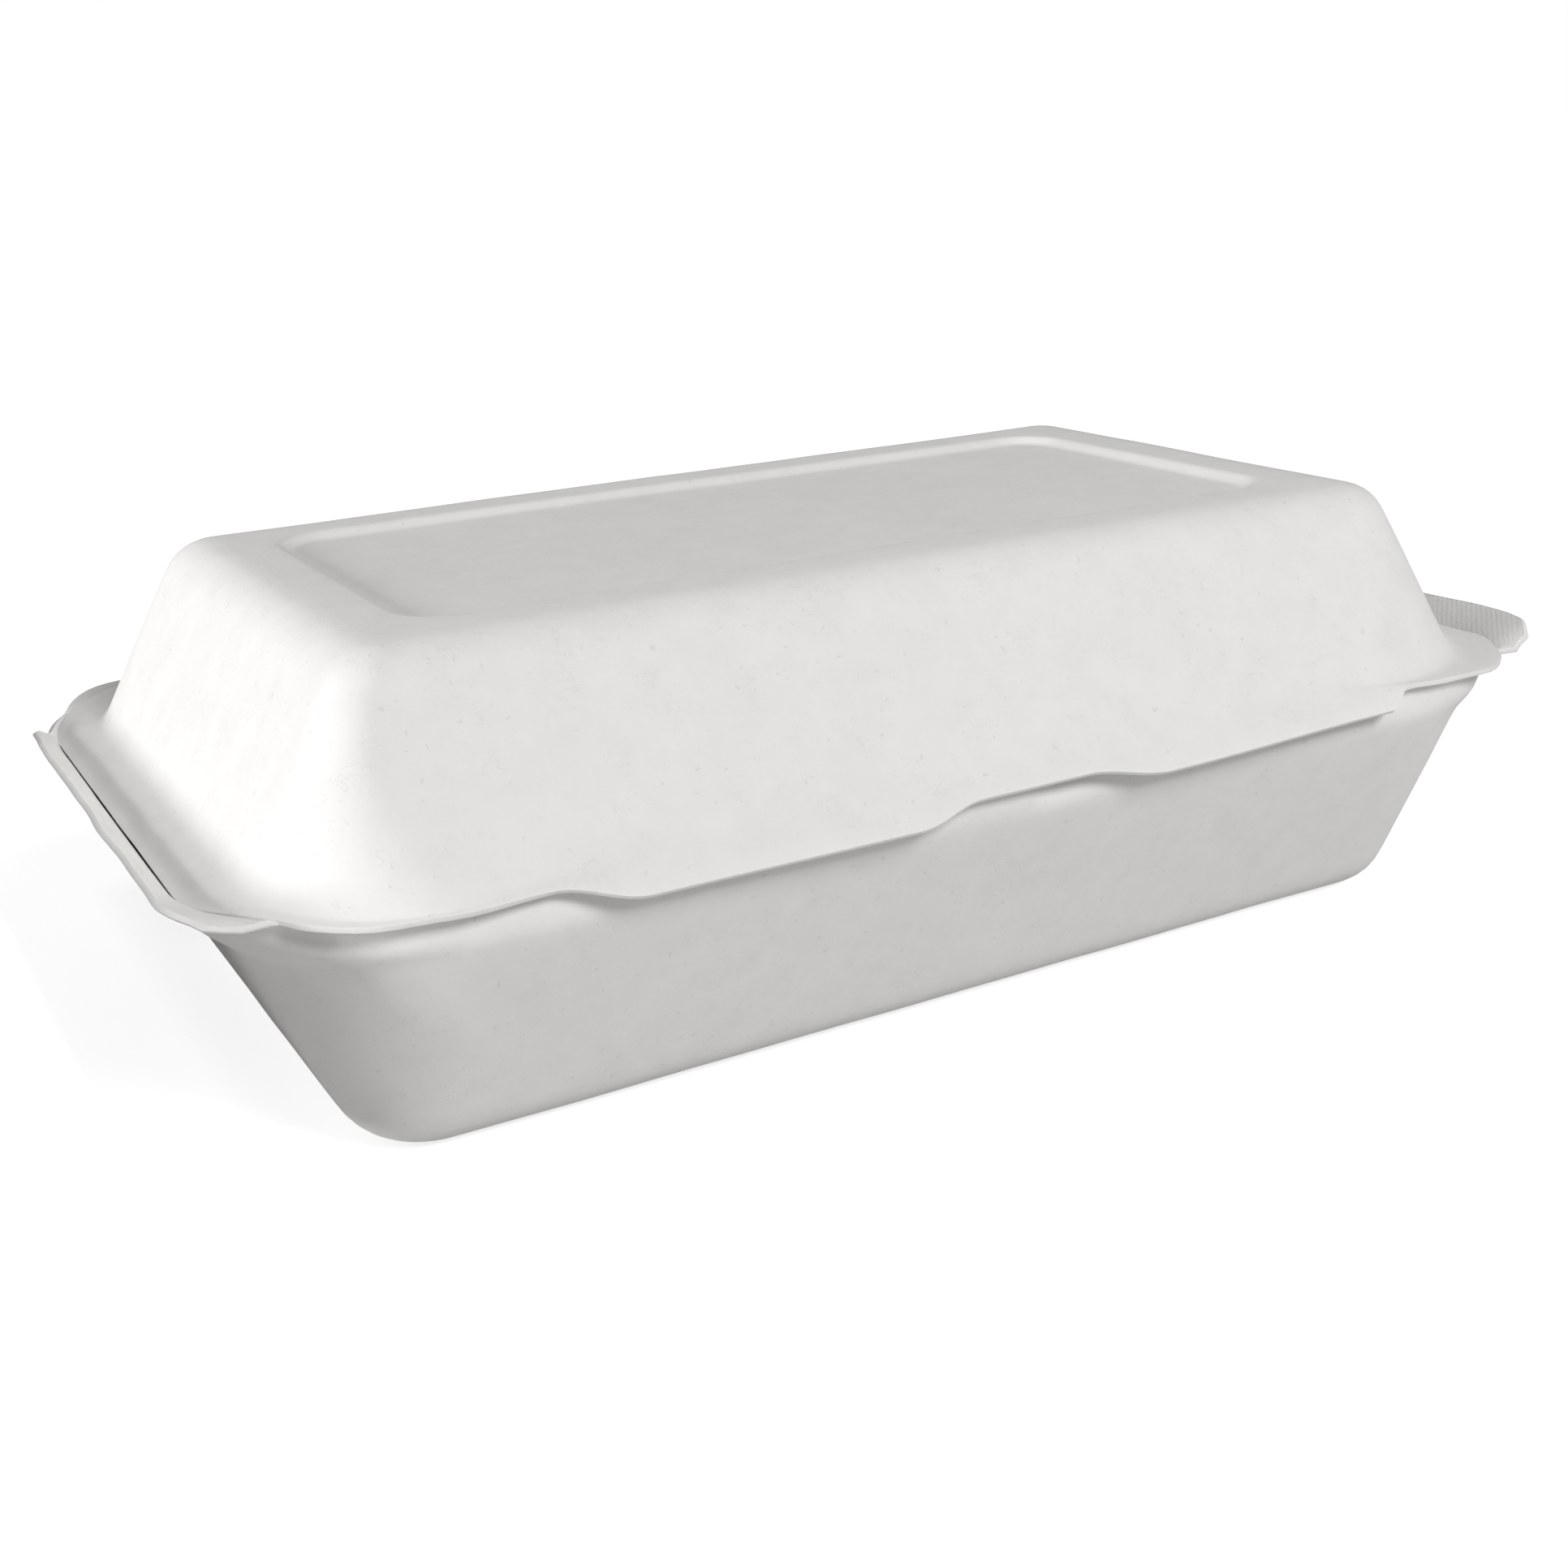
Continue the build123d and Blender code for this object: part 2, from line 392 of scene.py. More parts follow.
    def face_out(self, up: bool) -> None:
        """Turns all faces to the outside of the box.

        Args:
            up: Whether the outside is the upper side of the sheet.
        """
        bmesh.ops.recalc_face_normals(self.mesh, faces=self.mesh.faces)
        self.mesh.faces.ensure_lookup_table()
        middle = min(self.mesh.faces, key=lambda face: face.calc_center_median().xy.length)
        if (middle.normal.z > 0) != up:
            bmesh.ops.reverse_faces(self.mesh, faces=self.mesh.faces)

    def finish(self, materials: Materials) -> bpy.types.Object:
        """Closes the mesh and gives the sheet its thickness and its rounded edge.

        Args:
            materials: The outside's and the inside's finish.

        Returns:
            The finished piece.
        """
        for vert in self.mesh.verts:
            vert[self.rim] = max(0.0, 1.0 - (self.rings - vert[self.ring]) / self.rim_rings)
        for layer in (self.core, self.arm):
            self.mesh.verts.layers.float_vector.remove(layer)
        self.mesh.verts.layers.int.remove(self.mesh.verts.layers.int["ring"])
        bmesh.ops.scale(self.mesh, vec=(METRES, METRES, METRES), verts=self.mesh.verts)
        return thickened(self.mesh, self.name, materials, self.wall, self.edge)


@dataclass
class Tray(PressedSheet):
    """The base: floor with its divider ridge, leaning walls, flared rim, end lips and back shelf."""

    name: str = "tray_sheet"
    cover: HeightOver = field(kw_only=True)
    cover_gap: float = 1.22
    columns: int = 150
    dense_at: float = 22.0
    dense_width: float = 13.0
    dense_gain: float = 1.6
    field_half_x: float = 82.4
    field_half_y: float = 42.3
    field_margin: float = 6.0
    floor_half_x: float = 91.0
    floor_half_y: float = 49.0
    floor_corner: float = 10.0
    floor_bend: float = 9.5
    bend_steps: int = 7
    end_draft: float = 22.4
    side_draft: float = 25.6
    corner_growth: float = 0.58
    wall_steps: int = 15
    kink_height: float = 31.5
    front_height: float = 39.2
    rim_front: float = 40.1
    lip_foot: float = 41.3
    lip_height: float = 43.3
    front_rise: Stops = ((-59.5, 0.0), (-55.0, 0.6), (-50.0, 1.0))
    lip_fall: float = 26.0
    lip_down: float = 46.0
    shelf_height: float = 40.27
    shelf_edge: float = 69.2
    shelf_shares: tuple[float, ...] = (0.5, 1.0)
    flare_steps: int = 12
    flare_reach: float = 4.0
    flare_belly: float = 1.2
    flare_tuck: float = 1.5
    height_rounds: int = 3
    rim_power: int = 4
    front_turn: Ramp = Ramp(0.15, 0.5)
    end_turn: Ramp = Ramp(0.35, 0.5)
    back_turn: Ramp = Ramp(0.5, 0.5)
    tuck_rise: Ramp = Ramp(0.45, 0.55)
    lip_steep: float = 0.3
    lip_spread: float = 1.95
    lip_sway: float = 0.42
    lip_lean: float = 0.3
    lip_bob: float = 0.4
    sway_length: float = 12.0
    sway_seed: float = 5.3
    edge_out: float = 0.15
    edge_up: float = 0.3
    rim_corner: float = 33.0
    foot_corner: float = 29.0
    lip_corner: float = 18.5
    rim_tucks: Stops = (
        (-112.0, 0.2), (-104.0, 1.4), (-96.0, 2.8), (-72.0, 2.8), (-58.0, 2.0), (-14.0, 2.0), (-9.0, 1.3),
        (1.0, 1.5), (6.5, 3.6), (11.0, 3.6), (16.0, 2.0), (66.0, 2.0), (75.0, 2.6), (95.0, 2.0), (110.0, 0.2),
    )
    divider_place: float = 22.0
    divider_height: float = 24.0
    divider_foot: float = 22.0
    divider_top: float = 5.0
    divider_half: float = 41.0
    divider_end_draft: float = 20.0
    seed: float = 9.2

    def wall_outline(self, height: float) -> Outline:
        """The outside of the leaning walls at a height, without the bend at the floor."""
        return Outline(
            self.floor_half_x + height * tangent(self.end_draft),
            self.floor_half_y + height * tangent(self.side_draft),
            self.floor_corner + height * self.corner_growth,
            height,
        )

    def bend_outline(self, turn: float) -> Outline:
        """The outside of the bend between floor and walls, at an angle turned from level."""
        return self.bent(0.0, self.floor_bend * (1 - math.cos(math.radians(turn))), self.floor_bend, turn)

    def hollow(self, x: float, y: float) -> float:
        """Height of the divider's hollow above a point of the floor."""
        def covered(height: float) -> bool:
            """Whether the divider is still over the point at a height."""
            drawn_in = height / self.divider_height * (self.divider_foot - self.divider_top) / 2
            half_width = self.divider_foot / 2 - drawn_in
            half_length = self.divider_half - height * tangent(self.divider_end_draft)
            past_end = max(0.0, abs(y) - half_length + half_width)
            return math.hypot(x - self.divider_place, past_end) < half_width

        if not covered(0.0):
            return 0.0
        if covered(self.divider_height):
            return self.divider_height
        return halve(0.0, self.divider_height, covered)

    def rim_height(self, y: float) -> float:
        """Height of the rim: low in front, raised over the end lips, at the shelf's height behind."""
        if y < 0:
            return blend(self.rim_front, self.lip_height, through(self.front_rise, y, soft=True))
        fallen = ease((y - self.lip_fall) / (self.lip_down - self.lip_fall))
        return blend(self.lip_height, self.shelf_height, fallen)

    def flare_outline(self, height: float) -> Outline:
        """The outside of the flared rim at a height."""
        whole = self.wall_outline(height)
        middle = (self.kink_height + self.front_height) / 2
        above = self.lip_height + self.wall
        kink_corner = self.wall_outline(self.kink_height).corner
        spread = self.lip_spread * (above - self.lip_foot) / (self.lip_height - self.lip_foot)
        reach_end = through((
            (self.kink_height, 0.0),
            (middle, self.flare_reach / 2 + self.flare_belly),
            (self.front_height, self.flare_reach),
            (self.lip_foot, self.flare_reach + self.lip_steep),
            (above, self.flare_reach + spread),
        ), height)
        tuck = through(((self.kink_height, self.flare_tuck), (self.front_height, 0.0)), height)
        corner = through((
            (self.kink_height, kink_corner), (self.front_height, self.rim_corner),
            (self.lip_foot, self.foot_corner), (above, self.lip_corner),
        ), height)
        return Outline(whole.half_x + reach_end, whole.half_y - tuck, corner, height)

    def flare_point(self, core: Vector, arm: Vector, share: float) -> Vector:
        """A point of the flare, a share of the way from its kink to the rim."""
        height = self.kink_height
        point = self.flare_outline(height).point(core, arm)
        for _ in range(self.height_rounds):
            height = blend(self.kink_height, self.rim_height(point.y), share)
            point = self.flare_outline(height).point(core, arm)
        behind = self.wall_outline(height).reach(point.x, point.y)
        if behind < 0:
            point -= arm * behind
        if core.y < 0:
            point = self.tucked_in(point, core, arm, share)
        at_end = self.end_turn.at(abs(arm.x)) * share ** self.rim_power
        sway = drift(arm, point.y, self.sway_length, self.sway_seed) * self.lip_sway * at_end
        point += arm * (sway - self.lip_sway * self.lip_lean * at_end)
        point.z += sway * self.lip_bob
        return point

    def tucked_in(self, point: Vector, core: Vector, arm: Vector, share: float) -> Vector:
        """Draws a point of the front rim in, and sets its height by the lid's flange over it."""
        in_front = self.front_turn.at(-arm.y)
        tucked = through(self.rim_tucks, point.x, soft=True) * in_front
        if core.x < 0:
            tucked += self.corner_cut * diagonal(arm)
        point -= arm * tucked * self.tuck_rise.at(share)
        covered = (1.0 - through(self.front_rise, point.y, soft=True)) * in_front
        under = self.cover(point.x, point.y) - self.cover_gap
        point.z = blend(point.z, under, covered * share ** self.rim_power)
        return point

    def shelf_point(self, core: Vector, arm: Vector, share: float) -> Vector:
        """A point of the narrow shelf behind the back wall, which the crease grows from."""
        rim = self.flare_point(core, arm, 1.0)
        backed = self.back_turn.at(arm.y) if core.y > 0 else 0.0
        rim.y = blend(rim.y, max(rim.y, self.shelf_edge), backed * share)
        outwards = Vector((arm.x * self.edge_out, arm.y * self.edge_out, self.edge_up))
        return rim + outwards * (1 - backed) * share

    def build(self, materials: Materials) -> bpy.types.Object:
        """Builds the tray.

        Args:
            materials: The outside's and the inside's finish.

        Returns:
            The finished piece.
        """
        self.lay_field(self.field_half_x, self.field_half_y, self.field_margin, 0.0)
        steepest = 90 - self.end_draft
        for step in range(self.bend_steps + 1):
            self.grow(self.bend_outline(steepest * step / self.bend_steps).point)
        low = self.bend_outline(steepest).height
        for step in range(1, self.wall_steps):
            self.grow(self.wall_outline(blend(low, self.kink_height, step / self.wall_steps)).point)
        kink = self.rings
        for step in range(self.flare_steps + 1):
            self.grow(partial(self.flare_point, share=step / self.flare_steps))
        self.soften(kink - 2, self.rings - 1, 3)
        self.soften(1, kink, 1)
        for vert in self.mesh.verts:
            if vert[self.ring] == 0:
                vert.co.z = self.hollow(vert.co.x, vert.co.y)
        self.soften(0, 0, 2)
        self.ripple()
        for vert in self.mesh.verts:
            vert.co.z = max(0.0, vert.co.z)
        for share in self.shelf_shares:
            self.grow(partial(self.shelf_point, share=share))
        self.face_out(False)
        return self.finish(materials)


@dataclass
class Lid(PressedSheet):
    """The lid: sunk panel, bent top edge, leaning walls and the wavy flange."""

    name: str = "lid_sheet"
    foot_half_x: float = 104.457
    foot_half_y: float = 66.382
    foot_height: float = 42.0
    front_foot: float = 44.0
    lowest_foot: float = 40.0
    lowest_flange: float = 36.0
    highest: float = 44.8
    top_height: float = 69.15
    end_draft: float = 31.7
    side_draft: float = 37.1
    foot_corner: float = 35.7
    top_corner: float = 6.2
    top_bend: float = 9.8
    bend_steps: int = 8
    wall_steps: int = 14
    border_end: float = 12.4
    border_side: float = 11.2
    field_inset: float = 4.5
    field_margin: float = 5.0
    panel_depth: float = 1.3
    panel_corner: float = 9.0
    panel_slope: float = 2.5
    panel_steps: int = 5
    panel_run: range = range(-2, 8)
    flange_steps: int = 8
    flange_droop: float = 41.0
    flange_fall: float = 5.7
    end_flange: float = 4.6
    back_flange: float = 2.9
    rim_turn: float = 30.0
    plain_flange: float = 1.0
    front_widths: Stops = (
        (-71.0, 1.4), (-59.0, 4.1), (-19.0, 4.25), (-8.0, 2.3), (10.0, 2.3), (23.0, 4.2), (67.5, 3.4),
        (73.5, 0.7),
    )
    front_lifts: Stops = ((67.0, 0.0), (73.0, 0.4), (88.0, 0.3), (100.0, 0.1))
    front_turn: Ramp = Ramp(0.2, 0.4)
    corner_near: Ramp = Ramp(0.5, 0.5)
    corner_draw: float = 11.0
    corner_swell: float = 26.0
    corner_cover: float = 0.8
    cover_start: Ramp = Ramp(0.62, 0.12)
    cover_end: Ramp = Ramp(-1.0, 0.12)
    hem_reach: float = 1.3
    hem_turn: Ramp = Ramp(0.6, 0.35)
    hem_bend: float = 0.56
    hem_length: float = 0.3
    hem_wave: float = 0.12
    wave_length: float = 11.0
    wave_seed: float = 8.7
    hem_drop: float = 1.3
    hem_half: float = 54.0
    hem_fade: float = 14.0
    seed: float = 3.7

    def rise_share(self, height: float) -> float:
        """How far a height lies from the walls' foot to the top."""
        return (height - self.foot_height) / (self.top_height - self.foot_height)

    def wall_outline(self, height: float) -> Outline:
        """The outside of the lid's walls at a height, without the bend at the top."""
        up = height - self.foot_height
        return Outline(
            self.foot_half_x - up * tangent(self.end_draft),
            self.foot_half_y - up * tangent(self.side_draft),
            blend(self.foot_corner, self.top_corner, self.rise_share(height)),
            height,
        )

    def bend_outline(self, turn: float) -> Outline:
        """The outside of the bend between top and walls, at an angle turned from level."""
        height = self.top_height - self.top_bend * (1 - math.cos(math.radians(turn)))
        return self.bent(self.top_height, height, self.top_bend, turn)

    def panel_outline(self, share: float) -> Outline:
        """The sloping step round the sunk panel, from its foot to the border."""
        top = self.wall_outline(self.top_height)
        wider = (share - 1) * self.panel_slope
        return Outline(
            top.half_x - self.border_end + wider,
            top.half_y - self.border_side + wider,
            self.panel_corner + wider,
            self.top_height - self.panel_depth * (1 - ease(share)),
        )

    def flange_outline(self, height: float) -> Outline:
        """The flange at a height: steep in front, almost level at the ends and the back."""
        level = (self.foot_height - height) / tangent(self.flange_fall)
        up = self.front_foot - self.foot_height
        front = self.foot_half_y - up * tangent(self.side_draft)
        front += (self.front_foot - height) / tangent(self.flange_droop)
        back = self.foot_half_y + level
        corner = self.foot_corner + (self.foot_height - height) / tangent(self.flange_droop)
        return Outline(self.foot_half_x + level, (front + back) / 2, corner, height, (back - front) / 2)

    def flange_height(self, x: float, y: float) -> float:
        """Height of the flange over a point."""
        def above(height: float) -> bool:
            """Whether the flange passes over the point from that height up."""
            return self.flange_outline(height).reach(x, y) < 0

        return halve(self.lowest_flange, self.highest, above)

    def drawn(self, outline: Outline, core: Vector, arm: Vector) -> Vector:
        """A point of the wall's outline, with the left front corner drawn out sharper.

        Args:
            outline: The wall's outline at a height.
            core: Share of the straight sides.
            arm: Direction of the corner's radius.

        Returns:
            The point.
        """
        near = self.corner_near.at(-core.x) * self.corner_near.at(-core.y)
        share = self.rise_share(outline.height)
        less = max(0.0, 1.0 - share) * (self.corner_draw + self.corner_swell * max(0.0, share))
        corner = max(self.least_corner, outline.corner - less * near)
        return replace(outline, corner=corner).point(core, arm)

    def foot_point(self, core: Vector, arm: Vector) -> Vector:
        """Where the wall meets the flange."""
        def above(height: float) -> bool:
            """Whether the wall is still inside the flange at a height."""
            point = self.drawn(self.wall_outline(height), core, arm)
            return self.flange_outline(height).reach(point.x, point.y) < 0

        return self.drawn(self.wall_outline(halve(self.lowest_foot, self.highest, above)), core, arm)

    def wall_point(self, low: float, share: float, core: Vector, arm: Vector) -> Vector:
        """A point of the wall, a share of the way from a low height of the bend down to its foot."""
        height = blend(low, self.foot_point(core, arm).z, share)
        return self.drawn(self.wall_outline(height), core, arm)

    def rim_point(self, core: Vector, arm: Vector) -> Vector:
        """A point of the lid's rim: the notch, the two tabs and the plain corners in front."""
        front = self.foot_half_y + self.plain_flange
        back = self.foot_half_y + self.back_flange
        half_x, half_y = self.foot_half_x + self.end_flange, (front + back) / 2
        point = Outline(half_x, half_y, self.rim_turn, 0.0, (back - front) / 2).point(core, arm)
        if core.y < 0:
            point.y -= through(self.front_widths, point.x, soft=True) - self.plain_flange
        out = self.front_turn.at(abs(arm.x)) if core.y < 0 else self.hemmed(arm, point.y)
        over = self.cover_start.at(-arm.y) * self.cover_end.at(arm.y)
        cut = self.corner_cut * diagonal(arm) if core.x < 0 and core.y < 0 else 0.0
        point += arm * (self.hem_reach * out + self.corner_cover * over - cut)
        point.z = self.flange_height(point.x, point.y)
        return point

    def hemmed(self, arm: Vector, y: float) -> float:
        """How much of the turned-down hem there is: all at the ends, none in front and behind."""
        return self.hem_turn.at(abs(arm.x)) * ease((self.hem_half - abs(y)) / self.hem_fade)

    def flange_point(self, core: Vector, arm: Vector, share: float) -> Vector:
        """A point of the flange, a share of the way from the wall's foot to the rim."""
        point = self.foot_point(core, arm).lerp(self.rim_point(core, arm), share)
        point.z = self.flange_height(point.x, point.y)
        wave = drift(arm, point.y, self.wave_length, self.wave_seed) * self.hem_wave
        turned = ease((share - self.hem_bend - wave) / self.hem_length)
        point.z -= self.hem_drop * self.hemmed(arm, point.y) * turned
        if core.y < 0:
            point.z += through(self.front_lifts, point.x, soft=True) * share * share
        return point

    def build(self, materials: Materials) -> bpy.types.Object:
        """Builds the lid.

        Args:
            materials: The outside's and the inside's finish.

        Returns:
            The finished piece.
        """
        foot = self.panel_outline(0.0)
        half_x, half_y = foot.half_x - self.field_inset, foot.half_y - self.field_inset
        self.lay_field(half_x, half_y, self.field_margin, foot.height)
        for step in self.panel_run:
            self.grow(self.panel_outline(step / self.panel_steps).point)
        steepest = 90 - self.end_draft
        for step in range(self.bend_steps + 1):
            self.grow(partial(self.drawn, self.bend_outline(steepest * step / self.bend_steps)))
        bend = self.rings
        low = self.bend_outline(steepest).height
        for step in range(1, self.wall_steps):
            self.grow(partial(self.wall_point, low, step / self.wall_steps))
        foot_ring = self.rings + 1
        for step in range(self.flange_steps + 1):
            self.grow(partial(self.flange_point, share=step / self.flange_steps))
        self.soften(foot_ring - 4, self.rings - 1, 3)
        self.soften(1, bend + 2, 2)
        self.ripple()
        for vert in self.mesh.verts:
            vert.co.z = min(vert.co.z, self.top_height)
        self.face_out(True)
        return self.finish(materials)


@dataclass
class FoldCrease:
    """The narrow crease behind the box, where the sheet turns from tray to lid."""

    name: str = "fold_crease"
    half_length: float = 74.0
    centre_y: float = 69.15
    centre_z: float = 40.98
    radius: float = 1.2
    wall: float = 0.55
    edge: float = 0.15
    end_length: float = 6.0
    end_out: float = 0.6
    end_down: float = 0.3
    end_least: float = 0.25
    steps: int = 12
    lengthwise: int = 60

    def build(self, material: bpy.types.Material) -> bpy.types.Object:
        """Builds the crease as a half turn about a line along the back.

        Args:
            material: Its finish.

        Returns:
            The finished piece.
        """
        mesh = bmesh.new()
        low = self.centre_z - self.radius
        ends = [mesh.verts.new((side * self.half_length, self.centre_y, low)) for side in (-1, 1)]
        edge = mesh.edges.new(ends)
        bmesh.ops.subdivide_edges(mesh, edges=[edge], cuts=self.lengthwise)
        bmesh.ops.spin(
            mesh,
            geom=mesh.verts[:] + mesh.edges[:],
            cent=(0, self.centre_y, self.centre_z),
            axis=(1, 0, 0),
            angle=math.pi,
            steps=self.steps,
        )
        for vert in mesh.verts:
            taper = ease((self.half_length - abs(vert.co.x)) / self.end_length)
            vert.co.y = blend(self.centre_y + self.end_out, vert.co.y, taper)
            vert.co.z = blend(self.centre_z - self.end_down, vert.co.z, max(taper, self.end_least))
        bmesh.ops.recalc_face_normals(mesh, faces=mesh.faces)
        outermost = max(mesh.faces, key=lambda face: face.calc_center_median().y)
        if outermost.normal.y < 0:
            bmesh.ops.reverse_faces(mesh, faces=mesh.faces)
        bmesh.ops.scale(mesh, vec=(METRES, METRES, METRES), verts=mesh.verts)
        return thickened(mesh, self.name, [material], self.wall, self.edge)


def fill_in(node: bpy.types.Node, values: dict[str, object]) -> bpy.types.Node:
    """Writes plain values to a node's inputs, and gives the node back."""
    for label, value in values.items():
        node.inputs[label].default_value = value
    return node


def wire(tree: bpy.types.NodeTree, *links: tuple[Socket, Socket]) -> None:
    """Links outputs to inputs, pair by pair."""
    for output, socket in links:
        tree.links.new(output, socket)


def new_material(name: str, values: dict[str, object]) -> tuple[bpy.types.Material, bpy.types.Node]:
    """Makes a material of one shader with plain values, and gives both."""
    material = bpy.data.materials.new(name)
    material.use_nodes = True
    return material, fill_in(material.node_tree.nodes["Principled BSDF"], values)


class Face(Enum):
    """The two faces of the pressed sheet."""

    SMOOTH = "pulp_smooth"
    SCREENED = "pulp_screened"


class Nodes:
    """Short hands for laying out a node group."""

    def __init__(self, name: str, inputs: dict[str, str], outputs: dict[str, str]) -> None:
        """Opens a group with named sockets.

        Args:
            name: The group's name.
            inputs: The kind of socket for each input's name.
            outputs: The same for each output.
        """
        self.tree = bpy.data.node_groups.new(name, "ShaderNodeTree")
        for side, sockets in (("INPUT", inputs), ("OUTPUT", outputs)):
            for label, kind in sockets.items():
                self.tree.interface.new_socket(label, in_out=side, socket_type=f"NodeSocket{kind}")
        self.source = self.tree.nodes.new("NodeGroupInput")
        self.sink = self.tree.nodes.new("NodeGroupOutput")

    def join(self, value: object, socket: Socket) -> None:
        """Links an output to a socket, or writes a plain value there."""
        if isinstance(value, Socket):
            self.tree.links.new(value, socket)
        else:
            socket.default_value = value

    def given(self, label: str) -> Socket:
        """One of the group's own inputs."""
        return self.source.outputs[label]

    def put(self, label: str, value: Socket) -> None:
        """Leads a value to one of the group's outputs."""
        self.tree.links.new(value, self.sink.inputs[label])

    def math(self, operation: str, first: object, second: object = 0.0) -> Socket:
        """A sum on one or two values."""
        node = self.tree.nodes.new("ShaderNodeMath")
        node.operation = operation
        self.join(first, node.inputs[0])
        self.join(second, node.inputs[1])
        return node.outputs[0]

    def times(self, first: object, second: object) -> Socket:
        """The product of two values."""
        return self.math("MULTIPLY", first, second)

    def total(self, *parts: object) -> Socket:
        """The sum of several values."""
        return reduce(partial(self.math, "ADD"), parts)

    def clouds(self, scale: float, detail: float, roughness: float, distortion: float = 0.0) -> Socket:
        """A soft cloud pattern on the group's own coordinates."""
        node = fill_in(self.tree.nodes.new("ShaderNodeTexNoise"), {
            "Scale": scale, "Detail": detail, "Roughness": roughness, "Distortion": distortion,
        })
        self.join(self.given("Vector"), node.inputs["Vector"])
        return node.outputs["Fac"]

    def spread(self, value: object, low: float, high: float, first: float = 0.0, last: float = 1.0) -> Socket:
        """Maps the range from low to high to that from first to last, with soft ends."""
        node = self.tree.nodes.new("ShaderNodeMapRange")
        node.interpolation_type = "SMOOTHSTEP"
        self.join(value, node.inputs["Value"])
        fill_in(node, {"From Min": low, "From Max": high, "To Min": first, "To Max": last})
        return node.outputs["Result"]

    def mixed(self, share: object, first: object, second: object) -> Socket:
        """A mix of two colours."""
        node = self.tree.nodes.new("ShaderNodeMix")
        node.data_type = "RGBA"
        share_socket, _, _, _, _, _, first_socket, second_socket = node.inputs[:8]
        self.join(share, share_socket)
        self.join(first, first_socket)
        self.join(second, second_socket)
        return node.outputs[2]


@dataclass(frozen=True)
class PressedFibre:
    """The look of pressed fibre, shared by both faces of the sheet."""

    name: str = "pressed_fibre"
    full_turn: float = 6.2832
    thread_strength: float = 0.5
    fleck_strength: float = 0.24
    rim_strength: float = 0.5
    rim_colour: tuple[float, ...] = (0.87, 0.865, 0.85, 1.0)
    thread_gloss: float = 0.08
    fuzz_height: float = 0.35
    pit_height: float = 0.6
    thread_height: float = 0.5
    torn_height: float = 0.8

    def build(self) -> bpy.types.NodeTree:
        """Makes the node group, the first time that it is asked for.

        Returns:
            The node group.
        """
        known = bpy.data.node_groups.get(self.name)
        if known:
            return known
        n = Nodes(
            self.name,
            {"Vector": "Vector", "Pale": "Color", "Shade": "Color", "Fleck": "Color",
             "Rim": "Float", "Screen Pitch": "Float", "Screen Depth": "Float"},
            {"Color": "Color", "Roughness": "Float", "Height": "Float"},
        )
        mottle = n.spread(n.clouds(scale=170.0, detail=4.0, roughness=0.6), low=0.3, high=0.7)
        strands = n.clouds(scale=420.0, detail=2.0, roughness=0.5, distortion=1.4)
        apart = n.math("ABSOLUTE", n.math("SUBTRACT", strands, 0.5))
        hair = n.spread(apart, low=0.0, high=0.016, first=1.0, last=0.0)
        patchy = n.spread(n.clouds(scale=160.0, detail=3.0, roughness=0.6), low=0.5, high=0.66)
        threads = n.times(hair, patchy)
        specks = n.clouds(scale=900.0, detail=1.0, roughness=0.5, distortion=0.4)
        bits = n.spread(specks, low=0.70, high=0.78)
        flecks = n.times(n.math("MAXIMUM", n.times(threads, self.thread_strength), bits), self.fleck_strength)
        base = n.mixed(mottle, n.given("Shade"), n.given("Pale"))
        coloured = n.mixed(flecks, base, n.given("Fleck"))
        n.put("Color", n.mixed(n.times(n.given("Rim"), self.rim_strength), coloured, self.rim_colour))
        fuzz = n.clouds(scale=2600.0, detail=3.0, roughness=0.65)
        rough = n.spread(fuzz, low=0.2, high=0.8, first=0.72, last=0.92)
        n.put("Roughness", n.math("SUBTRACT", rough, n.times(threads, self.thread_gloss)))
        pits = n.times(n.clouds(scale=900.0, detail=2.0, roughness=0.5), self.pit_height)
        torn = n.times(n.times(fuzz, n.given("Rim")), self.torn_height)
        fuzzy, thready = n.times(fuzz, self.fuzz_height), n.times(threads, self.thread_height)
        n.put("Height", n.total(fuzzy, pits, thready, torn, self.screen(n)))
        return n.tree

    def screen(self, n: Nodes) -> Socket:
        """The fine crossing marks that the mould's wire screen leaves."""
        separate = n.tree.nodes.new("ShaderNodeSeparateXYZ")
        n.join(n.given("Vector"), separate.inputs[0])
        turns = n.math("DIVIDE", self.full_turn, n.given("Screen Pitch"))
        ribs_x, ribs_y = (n.math("SINE", n.times(separate.outputs[axis], turns)) for axis in "XY")
        return n.times(n.times(ribs_x, ribs_y), n.given("Screen Depth"))


